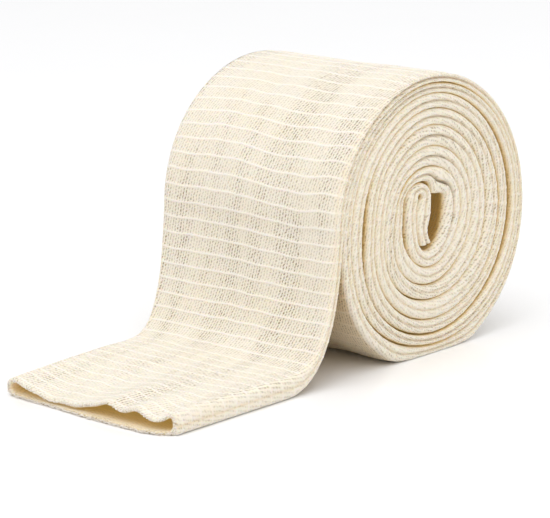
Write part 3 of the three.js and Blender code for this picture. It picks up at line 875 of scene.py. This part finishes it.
class BANDAGE_OT_outer_turn(bpy.types.Operator):
    """Makes the outer turn and the loose end with its open mouth and the cut stitches round it"""

    bl_idname = "bandage.outer_turn"
    bl_label = "Outer turn and loose end"

    def execute(self, context):
        """Rings from the join to the mouth and back inside it, and the loops on its edge"""
        sizes, colours = context.scene.bandage_sizes, context.scene.bandage_colours
        path = Path()
        pitch = sizes.line_pitch / MM
        join = join_length(path, pitch)
        rows = rows_between(join, path.end - EDGE_START, pitch, OUTER_SHARES)
        lengths = np.concatenate([rows, path.end - np.array(LIP_BACK)])
        inset = np.concatenate([0 * rows, LIP_INSET])
        ring = Ring(sizes, FINE_SIDE, both_ways(HIDDEN_SIDE))
        points, values = tube_points(path, sizes, lengths, ring, inset)
        material = knitted_cotton(sizes, colours, ring.whole)
        piece = tube_mesh("outer_turn", points, values, ring, lengths, material)
        as_bandage(piece)

        lip = len(rows) + LIP_BACK.index(0.0)
        loops, faces, uv = cut_loops(sizes, ring, points[lip], points[lip + 1])
        frayed = mesh_piece("frayed_edge", loops, faces, uv, {}, cut_yarn(colours))
        as_bandage(frayed)
        return {"FINISHED"}


def add_floor(colours):
    """A square of floor, which isn't part of the bandage."""
    mesh = bpy.data.meshes.new("floor")
    corners = [(x * FLOOR_SPAN, y * FLOOR_SPAN, 0) for x, y in [(-1, -1), (1, -1), (1, 1), (-1, 1)]]
    mesh.from_pydata(corners, [], [(0, 1, 2, 3)])
    mesh.materials.append(glossed_floor(colours))
    floor = add_object("floor", mesh)


def add_room(scene, strength):
    """Even white light from all round, with colours shown as they are."""
    world = bpy.data.worlds.new("even_white_room")
    world.use_nodes = True
    world.node_tree.nodes.clear()
    light = add_node(world.node_tree, "ShaderNodeBackground", (1, 1, 1, 1), strength)
    add_node(world.node_tree, "ShaderNodeOutputWorld", light)
    scene.world = world
    scene.view_settings.view_transform = "Standard"


def add_softbox(name, power, size, place, aim):
    """A square area light at a place, turned towards its aim."""
    data = bpy.data.lights.new(name, "AREA")
    data.energy, data.size = power, size
    lamp = add_object(name, data)
    lamp.location = place
    lamp.rotation_mode = "QUATERNION"
    lamp.rotation_quaternion = (Vector(aim) - Vector(place)).to_track_quat("-Z", "Y")


def add_camera(scene):
    """The fitted camera: it stands back along its azimuth and elevation by its distance and aside by its
    offsets, and roll turns it in its own plane."""
    azimuth, elevation, roll = np.radians([CAMERA_AZIMUTH, CAMERA_ELEVATION, CAMERA_ROLL])
    level = np.array([np.sin(azimuth), -np.cos(azimuth), 0.0])
    back = level * np.cos(elevation) + np.array([0.0, 0.0, np.sin(elevation)])
    right = np.array([np.cos(azimuth), np.sin(azimuth), 0.0])
    up = np.cross(back, right)
    right, up = right * np.cos(roll) - up * np.sin(roll), right * np.sin(roll) + up * np.cos(roll)
    place = back * CAMERA_DISTANCE - right * CAMERA_RIGHT - up * CAMERA_UP
    place[0] += CAMERA_CENTRE_X
    data = bpy.data.cameras.new("camera")
    data.sensor_width = SENSOR_WIDTH
    data.lens = CAMERA_FOCAL * SENSOR_WIDTH / IMAGE_WIDTH
    data.clip_start, data.clip_end = 0.05, 30.0
    camera = add_object("camera", data)
    turned = Matrix((right, up, back)).transposed().to_4x4()
    camera.matrix_world = Matrix.Translation(place * MM) @ turned
    scene.camera = camera


class BANDAGE_OT_stage(bpy.types.Operator):
    """Makes the pale floor, the soft studio light and the camera"""

    bl_idname = "bandage.stage"
    bl_label = "Stage"

    def execute(self, context):
        """Floor, even room light, two softboxes and the fitted camera"""
        stage = context.scene.bandage_stage
        add_floor(context.scene.bandage_colours)
        add_room(context.scene, stage.room_light)
        add_softbox("overhead_softbox", stage.key_power, 3.2, (-0.9, -0.3, 2.6), (0.3, 0.5, 0.0))
        add_softbox("end_softbox", stage.side_power, 1.4, (0.3, -1.7, 0.8), (0, 0, 0.04))
        add_camera(context.scene)
        return {"FINISHED"}


OPERATORS = [BANDAGE_OT_inner_turns, BANDAGE_OT_outer_turn, BANDAGE_OT_stage]
GROUPS = {"bandage_sizes": BandageSizes, "bandage_colours": BandageColours, "bandage_stage": BandageStage}


class BANDAGE_PT_panel(bpy.types.Panel):
    """Lists the bandage's pieces and their sizes"""

    bl_idname = "BANDAGE_PT_panel"
    bl_label = "Tubular bandage roll"
    bl_space_type = "VIEW_3D"
    bl_region_type = "UI"
    bl_category = "Bandage"

    def draw(self, context):
        """A button for each operator, then the settings"""
        for operator in OPERATORS:
            self.layout.operator(operator.bl_idname)
        for name, group in GROUPS.items():
            column = self.layout.column(align=True)
            for key in group.__annotations__:
                column.prop(getattr(context.scene, name), key)


def register():
    """Adds the settings, operators and panel"""
    for kind in [*GROUPS.values(), *OPERATORS, BANDAGE_PT_panel]:
        bpy.utils.register_class(kind)
    for name, group in GROUPS.items():
        setattr(bpy.types.Scene, name, PointerProperty(type=group))


def unregister():
    """Takes the settings, operators and panel away"""
    for name in GROUPS:
        delattr(bpy.types.Scene, name)
    for kind in [BANDAGE_PT_panel, *OPERATORS[::-1], *list(GROUPS.values())[::-1]]:
        bpy.utils.unregister_class(kind)


def main():
    """Builds the bandage and its stage"""
    register()
    bpy.ops.bandage.inner_turns()
    bpy.ops.bandage.outer_turn()
    bpy.ops.bandage.stage()


if __name__ == "__main__":
    main()
